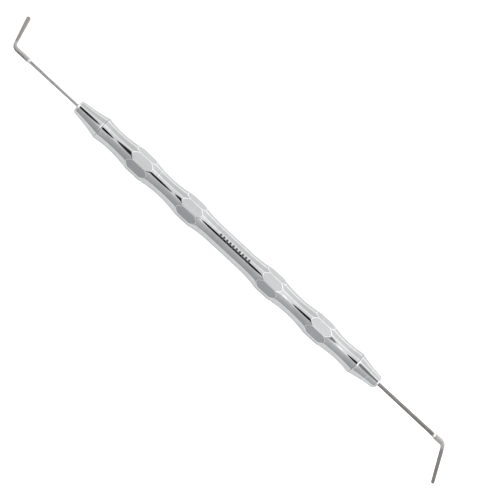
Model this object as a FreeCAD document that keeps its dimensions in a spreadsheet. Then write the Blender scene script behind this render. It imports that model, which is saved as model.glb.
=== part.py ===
import FreeCAD, Part
import math
import os
import Sketcher
from FreeCAD import Placement, Rotation, Vector

# A double-ended dental hand instrument: a waisted hollow handle with four eight-sided grip
# swellings, a tapered nose pressed into each end, and a bent working end brazed into each nose.
# It lies along X on its lowest flats. The origin is on the surface under the middle of its
# overall length and width, so the handle's axis runs a little to the +Y side of it.

# Driving dimensions, in millimetres and degrees.
SIZES = {
    # grip: a turned tube, then eight flats milled across every swelling
    "flat_count": 8,
    "across_flats": 7.55,
    "corner_allowance": 0.04,
    "waist_depth": 0.53,
    "crest_drop": 0.02,
    "facet_edge_length": 4.1,
    "joint_to_swell": 15.175,
    "swell_pitch_outer": 19.65,
    "swell_pitch_middle": 31.85,
    "end_waist_from_joint": 5.2,
    "middle_run": 7.4,
    "tube_wall": 0.59,
    "joint_chamfer": 0.12,
    # noses
    "nose_length": 9.5,
    "nose_front_diameter": 4.4,
    "nose_front_round": 1.1,
    "nose_side_radius": 48.0,
    "nose_mouth_chamfer": 0.18,
    "spigot_length": 6.0,
    "spigot_chamfer": 0.3,
    "spigot_gap": 0.01,
    "spigot_wall": 0.8,
    "relief_depth": 7.0,
    "tang_length": 7.0,
    "tang_gap": 0.01,
    # working ends: round shank, ramp, flat, bend and blade
    "ramp_length": 1.0,
    "ramp_sink": 0.05,
    "flat_tuck": 0.2,
    "flat_thickness": 0.65,
    "flat_edge_round": 0.22,
    "a_shank_root_diameter": 0.92,
    "a_shank_end_diameter": 1.12,
    "a_ramp_place": 18.1,
    "a_corner_place": 24.7,
    "a_bend_angle": 73.2,
    "a_flat_width": 1.55,
    "a_outer_bend_radius": 2.0,
    "a_inner_bend_radius": 1.8,
    "a_blade_length": 10.15,
    "a_blade_root_width": 1.0,
    "a_blade_tip_width": 1.45,
    "b_shank_root_diameter": 1.18,
    "b_shank_end_diameter": 1.36,
    "b_ramp_place": 22.75,
    "b_corner_place": 27.2,
    "b_bend_angle": 66.5,
    "b_flat_width": 1.85,
    "b_outer_bend_radius": 2.2,
    "b_inner_bend_radius": 1.2,
    "b_blade_length": 12.3,
    "b_blade_root_width": 1.28,
    "b_blade_tip_width": 1.14,
}

# Expressions that several pieces share.
WAIST_RADIUS = "(Sizes.across_flats / 2 - Sizes.waist_depth)"
CREST_RADIUS = "(Sizes.across_flats / 2 - Sizes.crest_drop)"
SWELL_RADIUS = "(Sizes.across_flats / 2 / cos(180 / Sizes.flat_count) + Sizes.corner_allowance)"
BORE_RADIUS = f"({WAIST_RADIUS} - Sizes.tube_wall)"
HALF_EDGE = "Sizes.facet_edge_length / 2"
TUBE_LENGTH = "(2 * Sizes.joint_to_swell + 2 * Sizes.swell_pitch_outer + Sizes.swell_pitch_middle)"
SWELL_PLACES = [
    "Sizes.joint_to_swell",
    "(Sizes.joint_to_swell + Sizes.swell_pitch_outer)",
    f"({TUBE_LENGTH} - Sizes.joint_to_swell - Sizes.swell_pitch_outer)",
    f"({TUBE_LENGTH} - Sizes.joint_to_swell)",
]
REACH_A = "(Sizes.a_corner_place + Sizes.a_blade_length * cos(Sizes.a_bend_angle))"
REACH_B = "(Sizes.b_corner_place + Sizes.b_blade_length * cos(Sizes.b_bend_angle))"
TUBE_START = f"(-({TUBE_LENGTH} + {REACH_B} - {REACH_A}) / 2)"
TIP_RADIUS_A = "Sizes.a_blade_tip_width / 2"
TIP_RADIUS_B = "Sizes.b_blade_tip_width / 2"
SIDE_A = f"((Sizes.a_blade_length - {TIP_RADIUS_A}) * sin(Sizes.a_bend_angle) + {TIP_RADIUS_A})"
SIDE_B = f"((Sizes.b_blade_length - {TIP_RADIUS_B}) * sin(Sizes.b_bend_angle) + {TIP_RADIUS_B})"
AXIS_SIDE = f"(({SIDE_B} - {SIDE_A}) / 2)"
AXIS_HEIGHT = "Sizes.across_flats / 2"

ORIGIN_POINT = (-1, 1)   # the sketch's own origin
HORIZONTAL_AXIS = -1     # the sketch's own horizontal axis


def make_sheet(document):
    """The spreadsheet that holds every driving dimension under its own alias."""
    sheet = document.addObject("Spreadsheet::Sheet", "Sizes")
    for row, (alias, value) in enumerate(SIZES.items(), start=1):
        sheet.set(f"A{row}", alias)
        sheet.set(f"B{row}", str(value))
        sheet.setAlias(f"B{row}", alias)
    document.recompute()
    return sheet


def value_of(sheet, expression):
    """The number that an expression on the sheet works out to."""
    return float(sheet.evalExpression(expression))


def new_sketch(body, plane_role, label):
    """A sketch on one of the body's own origin planes."""
    planes = [plane for plane in body.Origin.OriginFeatures if plane.Role == plane_role]
    sketch = body.newObject("Sketcher::SketchObject", label)
    sketch.AttachmentSupport = (planes[0], "")
    sketch.MapMode = "FlatFace"
    return sketch


def place_point(sketch, point, x_expression, y_expression):
    """Ties a sketch point to expressions for its two distances from the sketch's origin."""
    for kind, expression in (("DistanceX", x_expression), ("DistanceY", y_expression)):
        value = value_of(sketch.Document.Sizes, expression)
        index = sketch.addConstraint(Sketcher.Constraint(kind, *ORIGIN_POINT, *point, value))
        sketch.setExpression(f"Constraints[{index}]", expression)


def size_constraint(sketch, expression, kind, *references):
    """A constraint whose value follows an expression."""
    value = value_of(sketch.Document.Sizes, expression)
    if kind == "Angle":
        value = math.radians(value)
    index = sketch.addConstraint(Sketcher.Constraint(kind, *references, value))
    sketch.setExpression(f"Constraints[{index}]", expression)


def sketch_vector(sheet, station):
    """A station's place in the sketch plane, from its two expressions."""
    return Vector(value_of(sheet, station[0]), value_of(sheet, station[1]), 0)


def waist_arc(start, end, lowest):
    """An arc that opens upwards, level at its lowest end, from start on the left to end."""
    other = end if lowest is start else start
    run = other.x - lowest.x
    rise = other.y - lowest.y
    radius = (run * run + rise * rise) / (2 * rise)
    centre = Vector(lowest.x, lowest.y + radius, 0)
    return arc_between(centre, radius, start, end)


def arc_between(centre, radius, start, end):
    """An anticlockwise arc about centre, from start to end."""
    first = math.atan2(start.y - centre.y, start.x - centre.x)
    last = math.atan2(end.y - centre.y, end.x - centre.x)
    return Part.ArcOfCircle(Part.Circle(centre, Vector(0, 0, 1), radius), first, last)


def turned_profile(sketch, stations):
    """A closed outline through stations of (x, radius, how the next station is reached).

    A stretch is "line", or "falls" or "rises": an arc that is level where it is lowest.
    """
    sheet = sketch.Document.Sizes
    points = [sketch_vector(sheet, station) for station in stations]
    edges = []
    for number, station in enumerate(stations):
        start = points[number]
        end = points[(number + 1) % len(points)]
        if station[2] == "falls":
            edges.append(sketch.addGeometry(waist_arc(start, end, end)))
        elif station[2] == "rises":
            edges.append(sketch.addGeometry(waist_arc(start, end, start)))
        else:
            edges.append(sketch.addGeometry(Part.LineSegment(start, end)))
    for number, station in enumerate(stations):
        edge = edges[number]
        previous = edges[number - 1]
        sketch.addConstraint(Sketcher.Constraint("Coincident", previous, 2, edge, 1))
        place_point(sketch, (edge, 1), station[0], station[1])
        if station[2] == "falls":
            sketch.addConstraint(Sketcher.Constraint("Vertical", edge, 3, edge, 2))
        elif station[2] == "rises":
            sketch.addConstraint(Sketcher.Constraint("Vertical", edge, 3, edge, 1))
    return edges


def revolve(body, sketch, label):
    """Turns a sketch once round its own horizontal axis."""
    feature = body.newObject("PartDesign::Revolution", label)
    feature.Profile = sketch
    feature.ReferenceAxis = (sketch, ["H_Axis"])
    feature.Angle = 360
    sketch.Document.recompute()
    return feature


def edge_names(shape, is_wanted):
    """The names of the shape's edges that pass a test."""
    return [f"Edge{number}" for number, edge in enumerate(shape.Edges, start=1) if is_wanted(edge)]


def dress(body, kind, size_property, label, names, expression):
    """A chamfer or fillet on named edges of the body's last feature."""
    base = body.Tip
    feature = body.newObject(f"PartDesign::{kind}", label)
    feature.Base = (base, names)
    feature.setExpression(size_property, expression)
    body.Document.recompute()
    return feature


def is_ring(edge, x_place, radius):
    """True for a full circle round the X axis at a place and of a radius."""
    if not isinstance(edge.Curve, Part.Circle) or not edge.isClosed():
        return False
    near_place = abs(edge.Curve.Center.x - x_place) < 1e-3
    return near_place and abs(edge.Curve.Radius - radius) < 1e-3


def place_body(body, x_expression, turn=0):
    """Puts a body's own origin on the handle's axis, turned about the vertical."""
    body.Placement = Placement(Vector(0, 0, 0), Rotation(Vector(0, 0, 1), turn))
    body.setExpression("Placement.Base.x", x_expression)
    body.setExpression("Placement.Base.y", AXIS_SIDE)
    body.setExpression("Placement.Base.z", AXIS_HEIGHT)


def make_handle_tube(document):
    """The turned tube: four swellings, five waists, a bore, and eight flats on each swelling."""
    sheet = document.Sizes
    body = document.addObject("PartDesign::Body", "handle_tube")
    place_body(body, TUBE_START)

    swell_1, swell_2, swell_3, swell_4 = SWELL_PLACES
    profile = new_sketch(body, "XZ_Plane", "tube_profile")
    turned_profile(profile, [
        ("0", BORE_RADIUS, "line"),
        ("0", CREST_RADIUS, "falls"),
        ("Sizes.end_waist_from_joint", WAIST_RADIUS, "rises"),
        (f"{swell_1} - {HALF_EDGE}", SWELL_RADIUS, "line"),
        (f"{swell_1} + {HALF_EDGE}", SWELL_RADIUS, "falls"),
        (f"({swell_1} + {swell_2}) / 2", WAIST_RADIUS, "rises"),
        (f"{swell_2} - {HALF_EDGE}", SWELL_RADIUS, "line"),
        (f"{swell_2} + {HALF_EDGE}", SWELL_RADIUS, "falls"),
        (f"{swell_2} + {HALF_EDGE} + Sizes.middle_run", WAIST_RADIUS, "line"),
        (f"{swell_3} - {HALF_EDGE} - Sizes.middle_run", WAIST_RADIUS, "rises"),
        (f"{swell_3} - {HALF_EDGE}", SWELL_RADIUS, "line"),
        (f"{swell_3} + {HALF_EDGE}", SWELL_RADIUS, "falls"),
        (f"({swell_3} + {swell_4}) / 2", WAIST_RADIUS, "rises"),
        (f"{swell_4} - {HALF_EDGE}", SWELL_RADIUS, "line"),
        (f"{swell_4} + {HALF_EDGE}", SWELL_RADIUS, "falls"),
        (f"{TUBE_LENGTH} - Sizes.end_waist_from_joint", WAIST_RADIUS, "rises"),
        (TUBE_LENGTH, CREST_RADIUS, "line"),
        (TUBE_LENGTH, BORE_RADIUS, "line"),
    ])
    turned = revolve(body, profile, "turned_tube")

    # one flat is milled along the whole grip: only the swellings stand high enough to meet it
    flat_sketch = new_sketch(body, "YZ_Plane", "flat_cutter")
    side = value_of(sheet, SWELL_RADIUS)
    low = value_of(sheet, AXIS_HEIGHT)
    corners = [Vector(-side, low, 0), Vector(side, low, 0), Vector(side, side, 0), Vector(-side, side, 0)]
    for number, corner in enumerate(corners):
        flat_sketch.addGeometry(Part.LineSegment(corner, corners[(number + 1) % 4]))
    for number in range(4):
        flat_sketch.addConstraint(Sketcher.Constraint("Coincident", number - 1 if number else 3, 2, number, 1))
    place_point(flat_sketch, (0, 1), f"-{SWELL_RADIUS}", AXIS_HEIGHT)
    place_point(flat_sketch, (1, 1), SWELL_RADIUS, AXIS_HEIGHT)
    place_point(flat_sketch, (2, 1), SWELL_RADIUS, SWELL_RADIUS)
    place_point(flat_sketch, (3, 1), f"-{SWELL_RADIUS}", SWELL_RADIUS)
    flat = body.newObject("PartDesign::Pocket", "milled_flat")
    flat.Profile = flat_sketch
    flat.Type = "Length"
    flat.Reversed = True
    flat.setExpression("Length", TUBE_LENGTH)
    document.recompute()
    check_removed("milled flat", turned.Shape, flat.Shape)

    flats = body.newObject("PartDesign::PolarPattern", "milled_flats")
    flats.Originals = [flat]
    flats.Axis = (flat_sketch, ["N_Axis"])
    flats.Angle = 360
    flats.setExpression("Occurrences", "Sizes.flat_count")
    body.Tip = flats
    document.recompute()

    length = value_of(sheet, TUBE_LENGTH)
    crest = value_of(sheet, CREST_RADIUS)
    rims = edge_names(flats.Shape, lambda edge: is_ring(edge, 0, crest) or is_ring(edge, length, crest))
    dress(body, "Chamfer", "Size", "joint_edges", rims, "Sizes.joint_chamfer")
    return body


def make_nose(document, label, side, x_expression, turn):
    """A tapered nose with a spigot for the tube, a blind bore for the shank and a relief bore.

    side is the prefix of the sizes of the working end that it holds.
    """
    sheet = document.Sizes
    body = document.addObject("PartDesign::Body", label)
    place_body(body, x_expression, turn)

    spigot_radius = f"({BORE_RADIUS} - Sizes.spigot_gap)"
    relief_radius = f"({spigot_radius} - Sizes.spigot_wall)"
    mouth_radius = f"(Sizes.{side}_shank_root_diameter / 2 + Sizes.tang_gap)"
    front_radius = "Sizes.nose_front_diameter / 2"
    profile = new_sketch(body, "XZ_Plane", f"{label}_profile")
    stations = [
        ("-Sizes.spigot_length", relief_radius),
        ("-Sizes.spigot_length", spigot_radius),
        ("0", spigot_radius),
        ("0", CREST_RADIUS),
        ("Sizes.nose_length", front_radius),
        ("Sizes.nose_length", mouth_radius),
        ("Sizes.nose_length - Sizes.tang_length", mouth_radius),
        ("Sizes.nose_length - Sizes.tang_length", "0"),
        ("Sizes.relief_depth - Sizes.spigot_length", "0"),
        ("Sizes.relief_depth - Sizes.spigot_length", relief_radius),
    ]
    side_start = 3
    points = [sketch_vector(sheet, station) for station in stations]
    for number, start in enumerate(points):
        end = points[(number + 1) % len(points)]
        if number == side_start:
            profile.addGeometry(hollow_side(start, end, value_of(sheet, "Sizes.nose_side_radius")))
        else:
            profile.addGeometry(Part.LineSegment(start, end))
    for number, station in enumerate(stations):
        previous = number - 1 if number else len(stations) - 1
        profile.addConstraint(Sketcher.Constraint("Coincident", previous, 2, number, 1))
        place_point(profile, (number, 1), station[0], station[1])
    size_constraint(profile, "Sizes.nose_side_radius", "Radius", side_start)
    turned = revolve(body, profile, f"{label}_turned")

    length = value_of(sheet, "Sizes.nose_length")
    front = value_of(sheet, front_radius)
    mouth = value_of(sheet, mouth_radius)
    crest = value_of(sheet, CREST_RADIUS)
    spigot = value_of(sheet, spigot_radius)
    spigot_end = -value_of(sheet, "Sizes.spigot_length")
    front_ring = edge_names(turned.Shape, lambda edge: is_ring(edge, length, front))
    rounded = dress(body, "Fillet", "Radius", f"{label}_front_round", front_ring, "Sizes.nose_front_round")
    joint_ring = edge_names(rounded.Shape, lambda edge: is_ring(edge, 0, crest))
    jointed = dress(body, "Chamfer", "Size", f"{label}_joint_edge", joint_ring, "Sizes.joint_chamfer")
    spigot_ring = edge_names(jointed.Shape, lambda edge: is_ring(edge, spigot_end, spigot))
    led_in = dress(body, "Chamfer", "Size", f"{label}_lead_in", spigot_ring, "Sizes.spigot_chamfer")
    mouth_ring = edge_names(led_in.Shape, lambda edge: is_ring(edge, length, mouth))
    dress(body, "Chamfer", "Size", f"{label}_mouth", mouth_ring, "Sizes.nose_mouth_chamfer")
    return body


def hollow_side(start, end, radius):
    """A shallow arc from start to end that bows towards the axis."""
    chord = end - start
    middle = (start + end) * 0.5
    outwards = Vector(-chord.y, chord.x, 0).normalize()
    height = math.sqrt(radius * radius - chord.Length * chord.Length / 4)
    return arc_between(middle + outwards * height, radius, start, end)


def make_working_end(document, label, side, x_expression, turn):
    """A shank with a tang, a ramp down to a flat, and the flat's bend and blade.

    The blade turns towards the body's own -Y. side is the prefix of the end's own sizes.
    """
    body = document.addObject("PartDesign::Body", label)
    place_body(body, x_expression, turn)
    plan = plan_outline(body, label, side)

    plate = body.newObject("PartDesign::Pad", f"{label}_plate")
    plate.Profile = plan
    plate.SideType = "Symmetric"
    plate.setExpression("Length", "Sizes.flat_thickness")
    document.recompute()

    sheet = document.Sizes
    bends = (
        ("outer", 1, f"Sizes.{side}_outer_bend_radius"),
        ("inner", -1, f"Sizes.{side}_inner_bend_radius"),
    )
    for name, direction, radius in bends:
        corner = plan_corner(sheet, side, direction)
        upright = edge_names(body.Tip.Shape, lambda edge: is_upright_at(edge, corner))
        dress(body, "Fillet", "Radius", f"{label}_{name}_bend", upright, radius)

    level = value_of(sheet, "Sizes.flat_thickness / 2")
    rims = edge_names(body.Tip.Shape, lambda edge: lies_level(edge, level))
    dress(body, "Fillet", "Radius", f"{label}_edges", rims, "Sizes.flat_edge_round")

    ramp_end = f"(Sizes.{side}_ramp_place + Sizes.ramp_length)"
    shank = new_sketch(body, "XZ_Plane", f"{label}_shank_profile")
    turned_profile(shank, [
        ("-Sizes.tang_length", "0", "line"),
        ("-Sizes.tang_length", f"Sizes.{side}_shank_root_diameter / 2", "line"),
        ("0", f"Sizes.{side}_shank_root_diameter / 2", "line"),
        (f"Sizes.{side}_ramp_place", f"Sizes.{side}_shank_end_diameter / 2", "line"),
        (ramp_end, f"Sizes.{side}_shank_end_diameter / 2", "line"),
        (ramp_end, "0", "line"),
    ])
    joined = revolve(body, shank, f"{label}_shank")
    cut_ramps(body, joined, label, side, ramp_end)
    return body


def plan_corner(sheet, side, direction):
    """Where the flat's long side meets the blade's side: direction is 1 outside, -1 inside."""
    angle = math.radians(value_of(sheet, f"Sizes.{side}_bend_angle"))
    along, away, tip_centre = blade_vectors(sheet, side, angle)
    corner = Vector(value_of(sheet, f"Sizes.{side}_corner_place"), 0, 0)
    root = value_of(sheet, f"Sizes.{side}_blade_root_width") / 2
    tip = value_of(sheet, f"Sizes.{side}_blade_tip_width") / 2
    # the blade's side touches a circle at its root and a circle at its tip
    lean = math.asin((tip - root) / (tip_centre - corner).Length)
    normal = away * (direction * math.cos(lean)) - along * math.sin(lean)
    slope = Vector(-normal.y, normal.x, 0)
    touch = corner + normal * root
    height = direction * value_of(sheet, f"Sizes.{side}_flat_width") / 2
    return touch + slope * ((height - touch.y) / slope.y)


def blade_vectors(sheet, side, angle):
    """The blade's direction, its outward side and the centre of its rounded tip."""
    along = Vector(math.cos(angle), -math.sin(angle), 0)
    away = Vector(math.sin(angle), math.cos(angle), 0)
    reach = value_of(sheet, f"Sizes.{side}_blade_length - Sizes.{side}_blade_tip_width / 2")
    corner = Vector(value_of(sheet, f"Sizes.{side}_corner_place"), 0, 0)
    return along, away, corner + along * reach


def plan_outline(body, label, side):
    """The flat, its bend and the blade seen in plan, with sharp corners at the bend."""
    sheet = body.Document.Sizes
    sketch = new_sketch(body, "XY_Plane", f"{label}_plan")
    angle = math.radians(value_of(sheet, f"Sizes.{side}_bend_angle"))
    along, away, tip_centre = blade_vectors(sheet, side, angle)
    tip_radius = value_of(sheet, f"Sizes.{side}_blade_tip_width / 2")
    ramp_end = f"(Sizes.{side}_ramp_place + Sizes.ramp_length)"
    start_height = f"(Sizes.{side}_shank_end_diameter / 2 - Sizes.flat_tuck)"
    flat_height = f"(Sizes.{side}_flat_width / 2)"

    start_inner = (f"Sizes.{side}_ramp_place", f"-{start_height}")
    flat_inner = (ramp_end, f"-{flat_height}")
    flat_outer = (ramp_end, flat_height)
    start_outer = (f"Sizes.{side}_ramp_place", start_height)
    corner_inner = plan_corner(sheet, side, -1)
    corner_outer = plan_corner(sheet, side, 1)
    tip_inner = tip_centre - away * tip_radius
    tip_outer = tip_centre + away * tip_radius
    path = [
        sketch_vector(sheet, start_inner),
        sketch_vector(sheet, flat_inner),
        corner_inner,
        tip_inner,
        tip_outer,
        corner_outer,
        sketch_vector(sheet, flat_outer),
        sketch_vector(sheet, start_outer),
    ]
    tip = 3
    for number, start in enumerate(path):
        end = path[(number + 1) % len(path)]
        if number == tip:
            sketch.addGeometry(arc_between(tip_centre, tip_radius, start, end))
        else:
            sketch.addGeometry(Part.LineSegment(start, end))
    corner = Vector(value_of(sheet, f"Sizes.{side}_corner_place"), 0, 0)
    spine = sketch.addGeometry(Part.LineSegment(corner, tip_centre), True)

    count = len(path)
    for number in range(count):
        previous = number - 1 if number else count - 1
        if tip in (number, previous):
            sketch.addConstraint(Sketcher.Constraint("Tangent", previous, 2, number, 1))
        else:
            sketch.addConstraint(Sketcher.Constraint("Coincident", previous, 2, number, 1))
    place_point(sketch, (0, 1), *start_inner)
    place_point(sketch, (1, 1), *flat_inner)
    place_point(sketch, (6, 1), *flat_outer)
    place_point(sketch, (7, 1), *start_outer)
    sketch.addConstraint(Sketcher.Constraint("Horizontal", 1))
    sketch.addConstraint(Sketcher.Constraint("Horizontal", 5))
    place_point(sketch, (spine, 1), f"Sizes.{side}_corner_place", "0")
    sketch.addConstraint(Sketcher.Constraint("Coincident", spine, 2, tip, 3))
    spine_length = f"Sizes.{side}_blade_length - Sizes.{side}_blade_tip_width / 2"
    size_constraint(sketch, spine_length, "Distance", spine)
    size_constraint(sketch, f"-Sizes.{side}_bend_angle", "Angle", HORIZONTAL_AXIS, 1, spine, 1)
    size_constraint(sketch, f"Sizes.{side}_blade_tip_width / 2", "Radius", tip)
    for blade_side in (2, 4):
        half_root = f"Sizes.{side}_blade_root_width / 2"
        size_constraint(sketch, half_root, "Distance", spine, 1, blade_side)
    return sketch


def cut_ramps(body, joined, label, side, ramp_end):
    """Two sloping cuts that bring the round shank down to the flat's thickness."""
    radius = f"(Sizes.{side}_shank_end_diameter / 2)"
    foot = "(Sizes.flat_thickness / 2 - Sizes.ramp_sink)"
    sketch = new_sketch(body, "XZ_Plane", f"{label}_ramp_profile")
    sheet = body.Document.Sizes
    for sign in ("", "-"):
        stations = [
            (f"Sizes.{side}_ramp_place", f"{sign}{radius}"),
            (ramp_end, f"{sign}{foot}"),
            (ramp_end, f"{sign}{radius}"),
        ]
        points = [sketch_vector(sheet, station) for station in stations]
        first = sketch.GeometryCount
        for number, start in enumerate(points):
            sketch.addGeometry(Part.LineSegment(start, points[(number + 1) % 3]))
        for number, station in enumerate(stations):
            previous = first + (number + 2) % 3
            sketch.addConstraint(Sketcher.Constraint("Coincident", previous, 2, first + number, 1))
            place_point(sketch, (first + number, 1), *station)
    ramps = body.newObject("PartDesign::Pocket", f"{label}_ramps")
    ramps.Profile = sketch
    ramps.Type = "Length"
    ramps.SideType = "Symmetric"
    ramps.setExpression("Length", f"Sizes.{side}_shank_end_diameter")
    body.Document.recompute()
    check_removed(f"{label} ramps", joined.Shape, ramps.Shape)


def is_upright_at(edge, corner):
    """True for a straight edge along Z at a place in plan."""
    first, last = edge.Vertexes[0].Point, edge.Vertexes[-1].Point
    for point in (first, last):
        if math.hypot(point.x - corner.x, point.y - corner.y) > 1e-3:
            return False
    return abs(first.z - last.z) > 1e-3


def lies_level(edge, level):
    """True for an edge that lies in the top or bottom face of the flat."""
    box = edge.BoundBox
    return box.ZLength < 1e-4 and abs(abs(box.ZMin) - level) < 1e-4


def check_removed(name, before, after):
    """Stops if a cut took nothing away."""
    if before.Volume - after.Volume < 1e-6:
        raise RuntimeError(f"{name} removed nothing")


def check_document(document, bodies):
    """Stops if any object failed, or any piece is not one valid solid."""
    for thing in document.Objects:
        if "Invalid" in thing.State or "Error" in thing.State:
            raise RuntimeError(f"{thing.Label}: {thing.State}")
    for body in bodies:
        shape = body.Shape
        if shape.isNull() or not shape.isValid() or len(shape.Solids) != 1:
            raise RuntimeError(f"{body.Label} is not one valid solid")


def main():
    document = FreeCAD.newDocument("DentalExplorer")
    make_sheet(document)
    tube_end = f"({TUBE_START} + {TUBE_LENGTH})"
    mouth_a = f"({TUBE_START} - Sizes.nose_length)"
    mouth_b = f"({tube_end} + Sizes.nose_length)"
    half_turn = 180
    bodies = [
        make_handle_tube(document),
        make_nose(document, "nose_cone_a", "a", TUBE_START, half_turn),
        make_nose(document, "nose_cone_b", "b", tube_end, 0),
        make_working_end(document, "working_end_a", "a", mouth_a, half_turn),
        make_working_end(document, "working_end_b", "b", mouth_b, 0),
    ]
    document.recompute()
    check_document(document, bodies)
    os.makedirs("parts", exist_ok=True)
    for body in bodies:
        body.Shape.exportStep(f"parts/{body.Label}.step")
        box = body.Shape.BoundBox
        print(f"{body.Label}: volume {body.Shape.Volume:.2f} mm3, X {box.XMin:.2f} to {box.XMax:.2f},"
              f" Y {box.YMin:.2f} to {box.YMax:.2f}, Z {box.ZMin:.2f} to {box.ZMax:.2f}")


main()
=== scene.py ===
import math

import bmesh
import bpy
from mathutils import Matrix, Vector


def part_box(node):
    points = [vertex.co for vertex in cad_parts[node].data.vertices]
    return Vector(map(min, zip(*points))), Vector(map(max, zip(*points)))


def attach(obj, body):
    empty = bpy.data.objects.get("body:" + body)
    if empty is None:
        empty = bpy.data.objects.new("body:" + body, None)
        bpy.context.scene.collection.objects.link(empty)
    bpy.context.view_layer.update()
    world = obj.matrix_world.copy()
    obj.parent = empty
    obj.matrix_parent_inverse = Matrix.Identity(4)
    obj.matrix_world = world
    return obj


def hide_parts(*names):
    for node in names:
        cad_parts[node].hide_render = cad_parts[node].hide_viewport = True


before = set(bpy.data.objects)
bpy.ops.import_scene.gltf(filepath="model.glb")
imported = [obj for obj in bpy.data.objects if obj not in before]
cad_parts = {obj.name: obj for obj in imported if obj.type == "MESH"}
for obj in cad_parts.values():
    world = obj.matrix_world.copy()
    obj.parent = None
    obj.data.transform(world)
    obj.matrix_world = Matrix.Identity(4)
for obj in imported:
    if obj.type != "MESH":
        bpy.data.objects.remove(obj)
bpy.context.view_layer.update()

scene = bpy.context.scene
mm = 0.001
turn = 2 * math.pi
weld = 1e-8                                 # vertices closer than this are one
touch = 0.001 * mm                          # a vertex this close to a plane lies on it
reach = 1.01                                # slack when vertices are picked by their distance

# where things are, from the frame: the handle's axis, its ends and its flats
tubeLow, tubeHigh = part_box("handle_tube")
axis = Vector((0, (tubeLow.y + tubeHigh.y) / 2, (tubeLow.z + tubeHigh.z) / 2))
apothem = (tubeHigh.z - tubeLow.z) / 2      # half the distance across the flats
tubeStart, tubeEnd = tubeLow.x, tubeHigh.x
tubeMiddle = (tubeStart + tubeEnd) / 2
depths = {
    "crest": 0.02 * mm,                     # of the joints below the flats
    "waist": 0.53 * mm,                     # of the waists below the flats
    "wall": 0.59 * mm,                      # of the bore below the waists
}
crestRadius = apothem - depths["crest"]     # where a nose meets the tube
waistRadius = apothem - depths["waist"]
boreRadius = waistRadius - depths["wall"]


# mesh tools that several pieces share

def arcPoints(start, end, count):
    # stations (x, radius) from start to end on an arc that is level where it is lowest
    low, high = (start, end) if start[1] < end[1] else (end, start)
    run, rise = high[0] - low[0], high[1] - low[1]
    radius = (run * run + rise * rise) / (2 * rise)
    points = []
    for step in range(1, count + 1):
        x = start[0] + (end[0] - start[0]) * step / count
        offset = x - low[0]
        points.append((x, low[1] + radius - math.sqrt(radius * radius - offset * offset)))
    return points


def spinProfile(profile, steps):
    # turns a closed outline of (x, radius) once round the handle's axis
    bm = bmesh.new()
    ring = [bm.verts.new(axis + Vector((x, 0, radius))) for x, radius in profile]
    for number, vert in enumerate(ring):
        bm.edges.new((vert, ring[(number + 1) % len(ring)]))
    bmesh.ops.spin(bm, geom=bm.verts[:] + bm.edges[:], cent=axis, axis=(1, 0, 0),
                   dvec=(0, 0, 0), angle=turn, steps=steps, use_merge=True, use_duplicate=False)
    bmesh.ops.remove_doubles(bm, verts=bm.verts[:], dist=weld)
    bmesh.ops.recalc_face_normals(bm, faces=bm.faces[:])
    return bm


def addObject(bm, name, finish):
    mesh = bpy.data.meshes.new(name)
    bm.to_mesh(mesh)
    bm.free()
    added = bpy.data.objects.new(name, mesh)
    scene.collection.objects.link(added)
    mesh.materials.append(finish)
    return added


def axisDistance(vert):
    return math.hypot(vert.co.y - axis.y, vert.co.z - axis.z)


def finishPiece(bm, name, finish, node, sharpAngle):
    # makes the object, shades it and ties it to the frame
    for face in bm.faces:
        face.smooth = True
    for edge in bm.edges:
        edge.smooth = edge.calc_face_angle(0) < sharpAngle
    piece = addObject(bm, name, finish)
    weighted = piece.modifiers.new("evenShading", "WEIGHTED_NORMAL")
    weighted.keep_sharp = True
    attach(piece, "root")
    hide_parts(node)


# node groups that more than one finish uses

def newGroup(name, inputs, outputs):
    group = bpy.data.node_groups.new(name, "ShaderNodeTree")
    for label, kind, value in inputs:
        socket = group.interface.new_socket(label, in_out="INPUT", socket_type=kind)
        if value is not None:
            socket.default_value = value
    for label, kind in outputs:
        group.interface.new_socket(label, in_out="OUTPUT", socket_type=kind)
    return group, group.nodes.new("NodeGroupInput"), group.nodes.new("NodeGroupOutput")


def mathNode(tree, operation, first, second=None):
    node = tree.nodes.new("ShaderNodeMath")
    node.operation = operation
    for socket, value in ((node.inputs[0], first), (node.inputs[1], second)):
        if isinstance(value, (int, float)):
            socket.default_value = value
        elif value is not None:
            tree.links.new(value, socket)
    return node.outputs[0]


def addScaled(tree, value, added, share):
    return mathNode(tree, "ADD", value, mathNode(tree, "MULTIPLY", added, share))


def rangeNode(tree, value, low, high, toLow, toHigh):
    # a clamped change of range
    node = tree.nodes.new("ShaderNodeMapRange")
    tree.links.new(value, node.inputs["Value"])
    for label, number in (("From Min", low), ("From Max", high), ("To Min", toLow), ("To Max", toHigh)):
        node.inputs[label].default_value = number
    return node.outputs["Result"]


def noiseNode(tree, vector, scale, detail, roughness):
    node = tree.nodes.new("ShaderNodeTexNoise")
    tree.links.new(vector, node.inputs["Vector"])
    node.inputs["Scale"].default_value = scale
    node.inputs["Detail"].default_value = detail
    node.inputs["Roughness"].default_value = roughness
    return node.outputs["Fac"]


grain = {
    "lines": (1.0, 4.0, 0.62),          # scale, detail and roughness of a noise
    "bands": (0.11, 2.0, 0.5),
}


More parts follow.
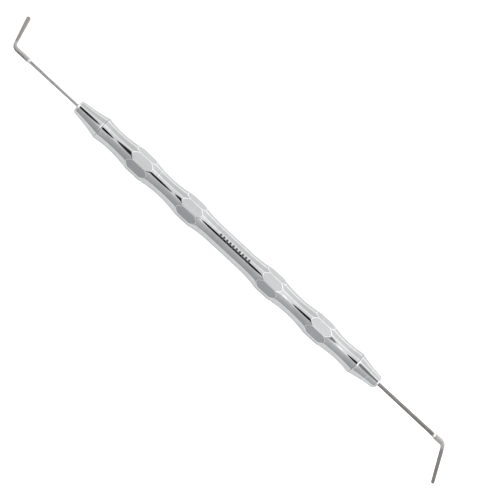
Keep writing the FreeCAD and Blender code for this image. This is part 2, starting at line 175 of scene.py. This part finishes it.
def makeGrainGroup():
    # fine tool lines: far denser one way than the other, given in lines for each metre
    group, given, result = newGroup(
        "toolGrain",
        [("Vector", "NodeSocketVector", None), ("Along", "NodeSocketFloat", 9000.0),
         ("Across", "NodeSocketFloat", 200.0)],
        [("Lines", "NodeSocketFloat"), ("Bands", "NodeSocketFloat")])
    parts = group.nodes.new("ShaderNodeSeparateXYZ")
    group.links.new(given.outputs["Vector"], parts.inputs[0])
    packed = group.nodes.new("ShaderNodeCombineXYZ")
    group.links.new(mathNode(group, "MULTIPLY", parts.outputs[0], given.outputs["Along"]), packed.inputs[0])
    for number in (1, 2):
        scaled = mathNode(group, "MULTIPLY", parts.outputs[number], given.outputs["Across"])
        group.links.new(scaled, packed.inputs[number])
    group.links.new(noiseNode(group, packed.outputs[0], *grain["lines"]), result.inputs["Lines"])
    group.links.new(noiseNode(group, packed.outputs[0], *grain["bands"]), result.inputs["Bands"])
    return group


handling = {
    "smudge": (1.0, 5.0, 0.6),
    "smudgeRange": (0.36, 0.66),
    "hairline": (1.0, 1.0, 0.5),
    "hairlineRange": (0.74, 0.80),
    # how each family of hairlines is turned and stretched
    "families": (((0.2, 0.5, 0.9), (2600, 60, 60)), ((0.9, 0.1, 2.2), (2100, 45, 70)),
                 ((1.6, 0.8, 0.4), (2400, 70, 50))),
}


def makeHandlingGroup():
    # what use leaves: broad smudges, and hairline scratches that run at all angles
    group, given, result = newGroup(
        "handling",
        [("Vector", "NodeSocketVector", None), ("Smudge Size", "NodeSocketFloat", 160.0),
         ("Scratches", "NodeSocketFloat", 0.5)],
        [("Smudge", "NodeSocketFloat"), ("Scratch", "NodeSocketFloat")])
    spread = group.nodes.new("ShaderNodeVectorMath")
    spread.operation = "SCALE"
    group.links.new(given.outputs["Vector"], spread.inputs[0])
    group.links.new(given.outputs["Smudge Size"], spread.inputs["Scale"])
    smudge = noiseNode(group, spread.outputs[0], *handling["smudge"])
    smudge = rangeNode(group, smudge, *handling["smudgeRange"], 0.0, 1.0)
    group.links.new(smudge, result.inputs["Smudge"])
    total = None
    for angles, stretch in handling["families"]:
        mapping = group.nodes.new("ShaderNodeMapping")
        mapping.inputs["Rotation"].default_value = angles
        mapping.inputs["Scale"].default_value = stretch
        group.links.new(given.outputs["Vector"], mapping.inputs["Vector"])
        noise = noiseNode(group, mapping.outputs[0], *handling["hairline"])
        lines = rangeNode(group, noise, *handling["hairlineRange"], 0.0, 1.0)
        total = lines if total is None else mathNode(group, "MAXIMUM", total, lines)
    scratch = mathNode(group, "MULTIPLY", total, given.outputs["Scratches"])
    group.links.new(scratch, result.inputs["Scratch"])
    return group


wearAndHighlightNoise = {
    "noise": (900.0, 3.0, 0.5),
    "noiseRange": (0.3, 0.7),
}


def makeWearAndHighlightGroup():
    # edges painted bright, partly rubbed wear and partly a painted highlight: an edge mask broken up by a
    # fine noise
    group, given, result = newGroup(
        "edgeWearAndHighlight",
        [("Vector", "NodeSocketVector", None), ("Edge", "NodeSocketFloat", 0.0),
         ("Breakup", "NodeSocketFloat", 0.3)],
        [("WearAndHighlight", "NodeSocketFloat")])
    noise = noiseNode(group, given.outputs["Vector"], *wearAndHighlightNoise["noise"])
    noise = rangeNode(group, noise, *wearAndHighlightNoise["noiseRange"], 0.0, 1.0)
    bite = mathNode(group, "MULTIPLY", noise, given.outputs["Breakup"])
    group.links.new(mathNode(group, "SUBTRACT", given.outputs["Edge"], bite), result.inputs["WearAndHighlight"])
    return group


grainGroup = makeGrainGroup()
handlingGroup = makeHandlingGroup()
wearAndHighlightGroup = makeWearAndHighlightGroup()


# finishes

def newMaterial(name):
    material = bpy.data.materials.new(name)
    material.use_nodes = True
    tree = material.node_tree
    return material, tree, tree.nodes["Principled BSDF"]


def useGroup(tree, group, **values):
    node = tree.nodes.new("ShaderNodeGroup")
    node.node_tree = group
    for label, value in values.items():
        socket = node.inputs[label.replace("_", " ")]
        if isinstance(value, (int, float)):
            socket.default_value = value
        else:
            tree.links.new(value, socket)
    return node.outputs


def blendNode(tree, factor, first, second):
    # a colour between two, each a tuple or a socket
    node = tree.nodes.new("ShaderNodeMix")
    node.data_type = "RGBA"
    tree.links.new(factor, node.inputs["Factor"])
    for socket, value in ((node.inputs[6], first), (node.inputs[7], second)):
        if isinstance(value, tuple):
            socket.default_value = (*value, 1)
        else:
            tree.links.new(value, socket)
    return node.outputs[2]


def attributeNode(tree, name, output="Fac"):
    node = tree.nodes.new("ShaderNodeAttribute")
    node.attribute_name = name
    return node.outputs[output]


# how strongly each layer shows in every steel finish
steel = {
    "bandRange": (0.35, 0.65),
    "lineRange": (0.3, 0.7),
    "scratches": 0.6,
    "smudgeColor": 0.35,
    "smudgeRoughness": 0.04,
    "scratchColor": 0.5,
    "scratchDepth": 0.8,
    "wearAndHighlightBreakup": 0.25,
    "wearAndHighlightRange": (0.1, 0.75),
    "etchRoughness": 0.3,
    "depth": 0.004 * mm,
}


def makeSteel(name, look):
    # polished steel with tool lines, smudges, hairlines and edges painted bright, partly wear and partly a
    # painted highlight
    material, tree, shader = newMaterial(name)
    place = tree.nodes.new("ShaderNodeTexCoord").outputs["Object"]
    if look["path"]:
        place = attributeNode(tree, "path", "Vector")
    along, across = look["turned"]
    turned = useGroup(tree, grainGroup, Vector=place, Along=along, Across=across)
    handled = useGroup(tree, handlingGroup, Vector=place, Smudge_Size=look["smudge"],
                       Scratches=steel["scratches"])
    lines, bands = turned["Lines"], turned["Bands"]
    if look["flats"]:
        # milled flats carry lengthwise lines in place of turned ones
        along, across = look["flats"]
        milled = useGroup(tree, grainGroup, Vector=place, Along=along, Across=across)
        share = attributeNode(tree, "flat")
        rest = mathNode(tree, "SUBTRACT", 1.0, share)
        lines = addScaled(tree, mathNode(tree, "MULTIPLY", lines, rest), milled["Lines"], share)
        bands = addScaled(tree, mathNode(tree, "MULTIPLY", bands, rest), milled["Bands"], share)
    banded = rangeNode(tree, bands, *steel["bandRange"], 0.0, 1.0)
    color = blendNode(tree, banded, look["dark"], look["color"])
    smudged = mathNode(tree, "MULTIPLY", handled["Smudge"], steel["smudgeColor"])
    color = blendNode(tree, smudged, color, look["smudged"])
    scratched = mathNode(tree, "MULTIPLY", handled["Scratch"], steel["scratchColor"])
    color = blendNode(tree, scratched, color, look["bright"])
    rough = rangeNode(tree, lines, *steel["lineRange"], *look["roughness"])
    rough = addScaled(tree, rough, handled["Smudge"], steel["smudgeRoughness"])
    # edges painted bright: partly rubbed wear, partly a painted highlight on the eased edges
    if look["edges"]:
        wearAndHighlightOutputs = useGroup(tree, wearAndHighlightGroup, Vector=place, Edge=attributeNode(tree, "edge"),
                        Breakup=steel["wearAndHighlightBreakup"])
        wearAndHighlight = rangeNode(tree, wearAndHighlightOutputs["WearAndHighlight"], *steel["wearAndHighlightRange"], 0.0, 1.0)
        color = blendNode(tree, wearAndHighlight, color, look["bright"])
        rough = addScaled(tree, rough, wearAndHighlight, look["edges"])
    # painted sheen on the working ends, which on the ramp and flat is partly a ground finish
    if look["groundAndSheen"]:
        color = blendNode(tree, attributeNode(tree, "groundAndSheen"), color, look["groundAndSheen"])
    if look["mark"]:
        etched = markMask(tree, place)
        color = blendNode(tree, etched, color, look["etched"])
        rough = addScaled(tree, rough, etched, steel["etchRoughness"])
    tree.links.new(color, shader.inputs["Base Color"])
    tree.links.new(rough, shader.inputs["Roughness"])
    shader.inputs["Metallic"].default_value = 1
    sunk = mathNode(tree, "MULTIPLY", handled["Scratch"], steel["scratchDepth"])
    height = mathNode(tree, "SUBTRACT", lines, sunk)
    bump = tree.nodes.new("ShaderNodeBump")
    bump.inputs["Strength"].default_value = look["bump"]
    bump.inputs["Distance"].default_value = steel["depth"]
    tree.links.new(height, bump.inputs["Height"])
    tree.links.new(bump.outputs[0], shader.inputs["Normal"])
    return material


# a plain row of upright ticks on top of the middle waist, etched dark
mark = {
    "start": -4.8 * mm,      # from the tube's middle
    "end": 7.6 * mm,
    "pitch": 1.24 * mm,
    "tick": 0.55,            # how much of the pitch a tick fills
    "low": -0.72 * mm,       # from the axis, across
    "high": 0.38 * mm,
}


def markMask(tree, place):
    parts = tree.nodes.new("ShaderNodeSeparateXYZ")
    tree.links.new(place, parts.inputs[0])
    x, y, z = parts.outputs
    along = mathNode(tree, "SUBTRACT", x, tubeMiddle + mark["start"])
    steps = mathNode(tree, "FRACT", mathNode(tree, "DIVIDE", along, mark["pitch"]))
    ticks = mathNode(tree, "LESS_THAN", steps, mark["tick"])
    tests = [
        mathNode(tree, "GREATER_THAN", along, 0.0),
        mathNode(tree, "LESS_THAN", along, mark["end"] - mark["start"]),
        mathNode(tree, "GREATER_THAN", y, axis.y + mark["low"]),
        mathNode(tree, "LESS_THAN", y, axis.y + mark["high"]),
        mathNode(tree, "GREATER_THAN", z, axis.z),
    ]
    mask = ticks
    for test in tests:
        mask = mathNode(tree, "MULTIPLY", mask, test)
    return mask


handleLook = {
    "color": (0.61, 0.62, 0.625),
    "dark": (0.575, 0.585, 0.59),
    "smudged": (0.53, 0.535, 0.535),
    "bright": (0.97, 0.97, 0.97),
    "etched": (0.12, 0.12, 0.125),
    "turned": (9000.0, 260.0),
    "flats": (260.0, 7000.0),
    "smudge": 170.0,
    "roughness": (0.05, 0.09),
    "edges": 0.22,
    "groundAndSheen": None,
    "path": False,
    "mark": True,
    "bump": 0.12,
}
noseLook = dict(handleLook, flats=None, mark=False, turned=(8000.0, 200.0))
tipLook = {
    "color": (0.30, 0.285, 0.275),
    "dark": (0.235, 0.224, 0.217),
    "smudged": (0.265, 0.248, 0.235),
    "bright": (0.62, 0.60, 0.58),
    "turned": (300.0, 9000.0),
    "flats": None,
    "smudge": 420.0,
    "roughness": (0.20, 0.32),
    "edges": None,
    "groundAndSheen": (0.86, 0.85, 0.84),
    "path": True,            # the lines follow the shank round its bend
    "mark": False,
    "bump": 0.2,
}
handleSteel = makeSteel("handleSteel", handleLook)
noseSteel = makeSteel("noseSteel", noseLook)
tipSteel = makeSteel("tipSteel", tipLook)
print("finishes made")


tube = {
    "swells": (15.175 * mm, 34.825 * mm, 66.675 * mm, 86.325 * mm),  # from the tube's start
    "edge": 4.1 * mm,               # straight edge between two flats
    "cornerExtra": 0.04 * mm,       # how far the swellings stand past the flats' own corners
    "endWaist": 5.2 * mm,           # from a joint to the nearest waist
    "middleRun": 7.4 * mm,
    "flats": 8,
    "steps": 144,
    "spacing": 0.3 * mm,            # between two turned rings
    "rim": 0.18 * mm,               # width of the eased edge round each flat
    "ease": 0.03 * mm,              # how far that edge is eased down
    "jointEdge": 0.12 * mm,
    # share of painted highlight and wear given to the joint and mouth edges
    "jointWearAndHighlight": 0.1,
    "sharp": math.radians(60),
}


def tubeProfile():
    half, run = tube["edge"] / 2, tube["middleRun"]
    swell = apothem / math.cos(math.pi / tube["flats"]) + tube["cornerExtra"]
    length = tubeEnd - tubeStart
    one, two, three, four = tube["swells"]
    corners = [(tube["endWaist"], waistRadius), (one - half, swell), (one + half, swell),
               ((one + two) / 2, waistRadius), (two - half, swell), (two + half, swell),
               (two + half + run, waistRadius), (three - half - run, waistRadius),
               (three - half, swell), (three + half, swell), ((three + four) / 2, waistRadius),
               (four - half, swell), (four + half, swell), (length - tube["endWaist"], waistRadius),
               (length, crestRadius)]
    profile = [(0, crestRadius)]
    for corner in corners:
        last = profile[-1]
        span = corner[0] - last[0]
        count = max(1, round(span / tube["spacing"]))
        if abs(corner[1] - last[1]) > weld:
            profile += arcPoints(last, corner, count)
        else:
            profile += [(last[0] + span * step / count, last[1]) for step in range(1, count + 1)]
    edge = tube["jointEdge"]
    profile[0] = (edge, profile[0][1])
    profile[-1] = (length - edge, profile[-1][1])
    profile += [(length, crestRadius - edge), (length, boreRadius)]
    profile += [(0, boreRadius), (0, crestRadius - edge)]
    return [(tubeStart + x, radius) for x, radius in profile]


def millFlats(bm):
    # cuts the swellings to their flats and gives those back: no turned face has as many corners
    for number in range(tube["flats"]):
        angle = turn * number / tube["flats"]
        normal = Vector((0, math.sin(angle), math.cos(angle)))
        bmesh.ops.bisect_plane(bm, geom=bm.verts[:] + bm.edges[:] + bm.faces[:], dist=weld,
                               plane_co=axis + normal * apothem, plane_no=normal, clear_outer=True)
        cut = [edge for edge in bm.edges if edge.is_boundary]
        bmesh.ops.holes_fill(bm, edges=cut, sides=0)
    bm.normal_update()
    return [face for face in bm.faces if len(face.verts) > tube["flats"]]


def makeHandleTube():
    bm = spinProfile(tubeProfile(), tube["steps"])
    facets = millFlats(bm)
    edgeLayer = bm.verts.layers.float.new("edge")
    flatLayer = bm.verts.layers.float.new("flat")
    rims = {vert for facet in facets for vert in facet.verts}
    bmesh.ops.inset_individual(bm, faces=facets, thickness=tube["rim"], depth=0)
    # the rims round the flats are marked to be painted bright: a painted highlight, partly wear
    for vert in rims:
        vert.co -= Vector((0, vert.co.y - axis.y, vert.co.z - axis.z)).normalized() * tube["ease"]
        vert[edgeLayer] = 1
    for facet in facets:
        for vert in facet.verts:
            vert[flatLayer] = 1
    # the joint edges get a little of the same painted highlight and wear
    for vert in bm.verts:
        radius = axisDistance(vert)
        atEnd = min(vert.co.x - tubeStart, tubeEnd - vert.co.x) < reach * tube["jointEdge"]
        if atEnd and radius > crestRadius - reach * tube["jointEdge"]:
            vert[edgeLayer] = tube["jointWearAndHighlight"]
    print("flats milled:", len(facets))
    finishPiece(bm, "handleTube", handleSteel, "handle_tube", tube["sharp"])


makeHandleTube()
print("handle tube made")


nose = {
    "length": 9.5 * mm,
    "frontRadius": 2.2 * mm,
    "frontRound": 1.1 * mm,
    "roundClear": 0.05 * mm,     # between the side's last station and the round
    "sideRadius": 48 * mm,       # the side is hollow by this radius
    "jointEdge": 0.12 * mm,
    "mouthEdge": 0.18 * mm,
    "spigotLength": 6 * mm,
    "spigotEdge": 0.3 * mm,
    "spigotGap": 0.01 * mm,
    "spigotWall": 0.8 * mm,
    "reliefDepth": 7 * mm,
    "tangLength": 7 * mm,
    "tangGap": 0.01 * mm,
    "sideSteps": 26,
    "roundSteps": 8,
    "steps": 96,
    "sharp": math.radians(35),
}


def hollowSide(start, end, radius, count):
    # stations on a shallow arc that bows towards the axis
    along = Vector(end) - Vector(start)
    outwards = Vector((-along.y, along.x)).normalized()
    middle = (Vector(start) + Vector(end)) / 2
    centre = middle + outwards * math.sqrt(radius ** 2 - along.length_squared / 4)
    first = math.atan2(start[1] - centre.y, start[0] - centre.x)
    last = math.atan2(end[1] - centre.y, end[0] - centre.x)
    angles = [first + (last - first) * step / count for step in range(count + 1)]
    return [(centre.x + radius * math.cos(angle), centre.y + radius * math.sin(angle))
            for angle in angles]


def noseProfile(mouthRadius):
    length, front, ease = nose["length"], nose["frontRadius"], nose["frontRound"]
    side = hollowSide((0, crestRadius), (length, front), nose["sideRadius"], nose["sideSteps"])
    # how steeply the side falls where it meets the front
    lean = math.atan2(side[-2][1] - side[-1][1], side[-1][0] - side[-2][0])
    setback = ease * math.tan((math.pi / 2 - lean) / 2)
    # the round touches the side and the front face
    centre = (length - ease, front + setback * math.sin(lean) - ease * math.cos(lean))
    touchAngle = math.pi / 2 - lean
    rounds = []
    for step in range(nose["roundSteps"] + 1):
        angle = touchAngle * (1 - step / nose["roundSteps"])
        rounds.append((centre[0] + ease * math.cos(angle), centre[1] + ease * math.sin(angle)))
    side = [point for point in side if point[0] < rounds[0][0] - nose["roundClear"]]
    edge, mouth = nose["jointEdge"], nose["mouthEdge"]
    spigot = boreRadius - nose["spigotGap"]
    relief = spigot - nose["spigotWall"]
    back = -nose["spigotLength"]
    tang = length - nose["tangLength"]
    chamfer = nose["spigotEdge"]
    profile = [(0, crestRadius - edge), (edge, side[0][1])] + side[1:] + rounds
    profile += [(length, mouthRadius + mouth), (length - mouth, mouthRadius)]
    profile += [(tang, mouthRadius), (tang, 0)]
    profile += [(nose["reliefDepth"] + back, 0), (nose["reliefDepth"] + back, relief), (back, relief)]
    profile += [(back, spigot - chamfer), (back + chamfer, spigot), (0, spigot)]
    return profile


def makeNose(name, node, joint, direction, shankRoot):
    mouthRadius = shankRoot / 2 + nose["tangGap"]
    profile = [(joint + direction * x, radius) for x, radius in noseProfile(mouthRadius)]
    bm = spinProfile(profile, nose["steps"])
    edgeLayer = bm.verts.layers.float.new("edge")
    front = joint + direction * nose["length"]
    # the joint and mouth edges get a little painted highlight and wear
    for vert in bm.verts:
        radius = axisDistance(vert)
        atJoint = abs(vert.co.x - joint) < reach * nose["jointEdge"]
        atMouth = abs(vert.co.x - front) < touch
        onCrest = radius > crestRadius - reach * nose["jointEdge"]
        onMouthEdge = radius < mouthRadius + reach * nose["mouthEdge"]
        if (atJoint and onCrest) or (atMouth and onMouthEdge):
            vert[edgeLayer] = tube["jointWearAndHighlight"]
    finishPiece(bm, name, noseSteel, node, nose["sharp"])


shankRoots = {"a": 0.92 * mm, "b": 1.18 * mm}   # shank diameters where they enter the noses
makeNose("noseConeA", "nose_cone_a", tubeStart, -1, shankRoots["a"])
makeNose("noseConeB", "nose_cone_b", tubeEnd, 1, shankRoots["b"])
print("noses made")


# both working ends, measured outwards from the noses' mouths
ends = {
    "a": {
        "root": shankRoots["a"],
        "end": 1.12 * mm,
        "ramp": 18.1 * mm,
        "corner": 24.7 * mm,
        "bend": math.radians(73.2),
        "bendRadius": 1.75 * mm,
        "flat": 1.55 * mm,
        "bladeLength": 10.15 * mm,
        "bladeRoot": 1.0 * mm,
        "bladeTip": 1.45 * mm,
        "shankSheen": 0.4,       # how bright the steel is painted, as shares of the ground look: painted sheen, and on the ramp and flat partly the ground finish
        "rampGroundAndSheen": 0.85,
        "flatGroundAndSheen": 0.42,
        "bladeSheen": 0.12,
    },
    "b": {
        "root": shankRoots["b"],
        "end": 1.36 * mm,
        "ramp": 22.75 * mm,
        "corner": 27.2 * mm,
        "bend": math.radians(66.5),
        "bendRadius": 1.7 * mm,
        "flat": 1.85 * mm,
        "bladeLength": 12.3 * mm,
        "bladeRoot": 1.28 * mm,
        "bladeTip": 1.14 * mm,
        "shankSheen": 0.0,
        "rampGroundAndSheen": 0.6,
        "flatGroundAndSheen": 0.4,
        "bladeSheen": 0.0,
    },
}
endShape = {
    "rampLength": 1.0 * mm,
    "thickness": 0.65 * mm,
    "squareness": 3.6,       # power of the flat's rounded section: 2 is an ellipse
    "points": 32,
    "shankRings": 12,
    "rampRings": 8,
    "flatRings": 4,
    "bendRings": 14,
    "bladeRings": 10,
    "tipRings": 7,           # rings that round the tip off
    "tipTurn": math.radians(84),
    "tipThinning": 0.35,     # share of the thickness that is gone at the very tip
    "sharp": math.radians(50),
}


def shankStations(size):
    # each ring is (along, across, heading, half width, half height, power, painted sheen); power 2 is round
    root, end = size["root"] / 2, size["end"] / 2
    thick, flat = endShape["thickness"] / 2, size["flat"] / 2
    power = endShape["squareness"]
    plain, groundAndSheen = size["shankSheen"], size["rampGroundAndSheen"]
    stations = [(-nose["tangLength"], 0, 0, root, root, 2, plain), (0, 0, 0, root, root, 2, plain)]
    rings = endShape["shankRings"]
    for step in range(1, rings + 1):
        radius = root + (end - root) * step / rings
        stations.append((size["ramp"] * step / rings, 0, 0, radius, radius, 2, plain))
    rings = endShape["rampRings"]
    for step in range(1, rings + 1):
        share = step / rings
        ease = share * share * (3 - 2 * share)
        along = size["ramp"] + endShape["rampLength"] * share
        stations.append((along, 0, 0, end + (flat - end) * ease, end + (thick - end) * share,
                         2 + (power - 2) * ease, groundAndSheen if 1 < step < rings else groundAndSheen / 2))
    return stations


def bladeStations(size):
    # the flat up to the bend, the bend, the blade and its rounded tip
    thick, flat = endShape["thickness"] / 2, size["flat"] / 2
    power, groundAndSheen = endShape["squareness"], size["flatGroundAndSheen"]
    bend, radius = size["bend"], size["bendRadius"]
    setback = radius * math.tan(bend / 2)
    begin, start = size["ramp"] + endShape["rampLength"], size["corner"] - setback
    stations = []
    rings = endShape["flatRings"]
    for step in range(1, rings + 1):
        along = begin + (start - begin) * step / rings
        stations.append((along, 0, 0, flat, thick, power, groundAndSheen))
    root, tip = size["bladeRoot"] / 2, size["bladeTip"] / 2
    straight = size["bladeLength"] - tip
    joined = root + (tip - root) * setback / straight
    rings = endShape["bendRings"]
    for step in range(1, rings + 1):
        heading = bend * step / rings
        stations.append((start + radius * math.sin(heading), radius * (1 - math.cos(heading)), heading,
                         flat + (joined - flat) * step / rings, thick, power, groundAndSheen))
    path = []
    rings = endShape["bladeRings"]
    for step in range(1, rings + 1):
        along = setback + (straight - setback) * step / rings
        path.append((along, root + (tip - root) * along / straight, thick))
    rings = endShape["tipRings"]
    for step in range(1, rings + 1):
        angle = endShape["tipTurn"] * step / rings
        thinned = thick * (1 - endShape["tipThinning"] * (step / rings) ** 3)
        path.append((straight + tip * math.sin(angle), tip * math.cos(angle), thinned))
    for along, width, height in path:
        stations.append((size["corner"] + along * math.cos(bend), along * math.sin(bend), bend,
                         width, height, power, size["bladeSheen"]))
    return stations


def rounded(value, power):
    return math.copysign(abs(value) ** (2 / power), value)


def placeRing(ring, station, travel, mouth, direction, layers):
    # lays a ring of vertices out as a section square to the station's heading
    x, y, heading, halfWidth, halfHeight, power, groundAndSheen = station
    groundAndSheenLayer, pathLayer = layers
    for number, vert in enumerate(ring):
        angle = turn * number / len(ring)
        side = rounded(math.cos(angle), power) * halfWidth
        rise = rounded(math.sin(angle), power) * halfHeight
        along = x - side * math.sin(heading)
        across = y + side * math.cos(heading)
        vert.co = Vector((mouth + direction * along, axis.y - direction * across, axis.z + rise))
        # how much painted sheen this ring gets
        vert[groundAndSheenLayer] = groundAndSheen
        vert[pathLayer] = Vector((travel, side, rise))


def makeWorkingEnd(name, node, size, mouth, direction):
    stations = shankStations(size) + bladeStations(size)
    bm = bmesh.new()
    layers = bm.verts.layers.float.new("groundAndSheen"), bm.verts.layers.float_vector.new("path")
    ring = bmesh.ops.create_circle(bm, segments=endShape["points"], radius=size["root"] / 2)["verts"]
    edges = bm.edges[:]
    travel = 0
    placeRing(ring, stations[0], travel, mouth, direction, layers)
    for last, station in zip(stations, stations[1:]):
        grown = bmesh.ops.extrude_edge_only(bm, edges=edges)["geom"]
        fresh = {item for item in grown if isinstance(item, bmesh.types.BMVert)}
        edges = [item for item in grown if isinstance(item, bmesh.types.BMEdge)
                 and all(vert in fresh for vert in item.verts)]
        ring = [next(edge.other_vert(vert) for edge in vert.link_edges
                     if edge.other_vert(vert) in fresh) for vert in ring]
        travel += math.dist(last[:2], station[:2])
        placeRing(ring, station, travel, mouth, direction, layers)
    rims = [edge for edge in bm.edges if edge.is_boundary]
    bmesh.ops.holes_fill(bm, edges=rims, sides=0)
    bmesh.ops.recalc_face_normals(bm, faces=bm.faces[:])
    finishPiece(bm, name, tipSteel, node, endShape["sharp"])


makeWorkingEnd("workingEndA", "working_end_a", ends["a"], tubeStart - nose["length"], -1)
makeWorkingEnd("workingEndB", "working_end_b", ends["b"], tubeEnd + nose["length"], 1)
print("working ends made")


view = {
    "tilt": 14.0,          # degrees that the camera leans to the near side of straight above
    "lean": 5.00,          # degrees that it leans towards end A
    "roll": 42.81,         # degrees that the handle runs down to the right in the picture
    "width": 147.1 * mm,   # how wide the picture is at the handle
    "distance": 0.35,
    "sensor": 36,
    "clip": (0.01, 20),
    "along": 4.99 * mm,    # the picture's middle, from the tube's middle
    "across": 3.26 * mm,
}


def makeCamera():
    tilt, lean, roll = (math.radians(view[name]) for name in ("tilt", "lean", "roll"))
    away = Vector((0, math.cos(tilt), math.sin(tilt)))
    above = Vector((0, -math.sin(tilt), math.cos(tilt)))
    ahead = Vector((1, 0, 0))
    along = ahead * math.cos(lean) + above * math.sin(lean)
    back = above * math.cos(lean) - ahead * math.sin(lean)
    right = along * math.cos(roll) + away * math.sin(roll)
    up = away * math.cos(roll) - along * math.sin(roll)
    target = Vector((tubeMiddle + view["along"], axis.y, axis.z)) + away * view["across"]
    data = bpy.data.cameras.new("camera")
    data.sensor_width = view["sensor"]
    data.lens = data.sensor_width * view["distance"] / view["width"]
    data.clip_start, data.clip_end = view["clip"]
    camera = bpy.data.objects.new("camera", data)
    turned = Matrix((right, up, back)).transposed().to_4x4()
    camera.matrix_world = Matrix.Translation(target + back * view["distance"]) @ turned
    scene.collection.objects.link(camera)
    scene.camera = camera


makeCamera()


def newMatte(name, grey):
    # paper or cloth with no gloss, which can be made to glow
    material, tree, shader = newMaterial(name)
    shader.inputs["Base Color"].default_value = (grey, grey, grey, 1)
    shader.inputs["Specular IOR Level"].default_value = 0
    shader.inputs["Emission Color"].default_value = (1, 1, 1, 1)
    return material, tree, shader


paper = {
    "radius": 3,
    "segments": 96,
    "grey": 0.9,
    "roughness": 0.9,
    "lift": 0.7,           # glow that only the camera sees
}


def makeFloor():
    bm = bmesh.new()
    bmesh.ops.create_circle(bm, cap_ends=True, radius=paper["radius"], segments=paper["segments"])
    material, tree, shader = newMatte("paleFloor", paper["grey"])
    shader.inputs["Roughness"].default_value = paper["roughness"]
    rays = tree.nodes.new("ShaderNodeLightPath")
    lift = mathNode(tree, "MULTIPLY", rays.outputs["Is Camera Ray"], paper["lift"])
    tree.links.new(lift, shader.inputs["Emission Strength"])
    addObject(bm, "floor", material)


makeFloor()


# things over the handle that are seen only as reflections in the steel
cards = {
    # name: (middle along the handle, degrees from the far horizon, half sizes, grey, glow)
    "lensCard": (7 * mm, 99, (62 * mm, 42 * mm), 0.01, 0),
    "flagLeft": (-128 * mm, 93, (62 * mm, 60 * mm), 0.02, 0),
    "flagRight": (205 * mm, 90, (77 * mm, 76 * mm), 0.30, 0),
    "softStrip": (105 * mm, 100, (12 * mm, 15 * mm), 0.8, 1.3),
}
cardHeight = 0.22
cardSegments = 48


def makeCard(name, middle, degrees, halves, grey, glow):
    angle = math.radians(degrees - 90)
    above = Vector((0, -math.sin(angle), math.cos(angle)))
    bm = bmesh.new()
    bmesh.ops.create_circle(bm, cap_ends=True, radius=1, segments=cardSegments)
    bmesh.ops.scale(bm, vec=(halves[0], halves[1], 1), verts=bm.verts[:])
    place = Matrix.Translation(axis + Vector((middle, 0, 0)) + above * cardHeight)
    bmesh.ops.transform(bm, matrix=place @ Matrix.Rotation(angle, 4, "X"), verts=bm.verts[:])
    material, tree, shader = newMatte(name + "Cloth", grey)
    shader.inputs["Emission Strength"].default_value = glow
    card = addObject(bm, name, material)
    card.visible_camera = False
    card.visible_diffuse = False
    card.visible_shadow = False


for name, settings in cards.items():
    makeCard(name, *settings)


# how bright the studio tent is, round the handle and along it
tent = {
    "round": [(0, 1.9), (5, 1.8), (10, 0.98), (50, 0.93), (58, 1.3), (68, 1.3), (75, 1.05), (96, 1.15),
              (108, 1.15), (117, 0.70), (150, 0.58), (180, 0.50)],
    "along": [(-1, 1.9), (-0.8, 1.7), (-0.55, 0.9), (0, 0.97), (0.3, 1.12), (0.6, 1.1), (0.8, 1.7),
              (1, 1.9)],
    "coolFrom": 118,       # degrees past which it is a little blue
    "cool": (0.975, 1.0, 1.015),
}


def fillRamp(ramp, stops):
    ramp.interpolation = "EASE"
    elements = ramp.elements
    while len(elements) > 1:
        elements.remove(elements[-1])
    for number, (place, color) in enumerate(stops):
        element = elements[0] if number == 0 else elements.new(place)
        element.position = place
        element.color = (*color, 1)


def makeWorld():
    world = bpy.data.worlds.new("studio")
    scene.world = world
    world.use_nodes = True
    tree = world.node_tree
    nodes, links = tree.nodes, tree.links
    parts = nodes.new("ShaderNodeSeparateXYZ")
    links.new(nodes.new("ShaderNodeTexCoord").outputs["Generated"], parts.inputs[0])
    angle = mathNode(tree, "ARCTAN2", parts.outputs["Z"], parts.outputs["Y"])
    stops = []
    for degrees, level in tent["round"]:
        tint = tent["cool"] if degrees > tent["coolFrom"] else (1.0, 1.0, 1.0)
        stops.append((degrees / 180, tuple(level * share for share in tint)))
    roundRamp = nodes.new("ShaderNodeValToRGB")
    fillRamp(roundRamp.color_ramp, stops)
    links.new(mathNode(tree, "DIVIDE", angle, math.pi), roundRamp.inputs[0])
    stops = [((place + 1) / 2, (level, level, level)) for place, level in tent["along"]]
    alongRamp = nodes.new("ShaderNodeValToRGB")
    fillRamp(alongRamp.color_ramp, stops)
    links.new(rangeNode(tree, parts.outputs["X"], -1.0, 1.0, 0.0, 1.0), alongRamp.inputs[0])
    both = nodes.new("ShaderNodeMix")
    both.data_type = "RGBA"
    both.blend_type = "MULTIPLY"
    both.inputs["Factor"].default_value = 1
    links.new(roundRamp.outputs[0], both.inputs[6])
    links.new(alongRamp.outputs[0], both.inputs[7])
    rays = nodes.new("ShaderNodeLightPath")
    seen = blendNode(tree, rays.outputs["Is Camera Ray"], both.outputs[2], (1.0, 1.0, 1.0))
    links.new(seen, nodes["Background"].inputs["Color"])


makeWorld()


endLight = {
    "place": Vector((0.9, 0.1, 0.8)),
    "size": 0.6,
    "power": 1,
}


def makeLight(name, side):
    # a soft light off one end of the handle, turned to its middle
    place = endLight["place"] * Vector((side, 1, 1))
    data = bpy.data.lights.new(name, "AREA")
    data.shape = "RECTANGLE"
    data.size = data.size_y = endLight["size"]
    data.energy = endLight["power"]
    light = bpy.data.objects.new(name, data)
    light.location = place
    light.rotation_euler = (-place).to_track_quat("-Z", "Y").to_euler()
    light.visible_camera = False
    light.visible_glossy = False
    scene.collection.objects.link(light)


makeLight("endLightLeft", -1)
makeLight("endLightRight", 1)
scene.view_settings.view_transform = "Standard"
print("stage set")
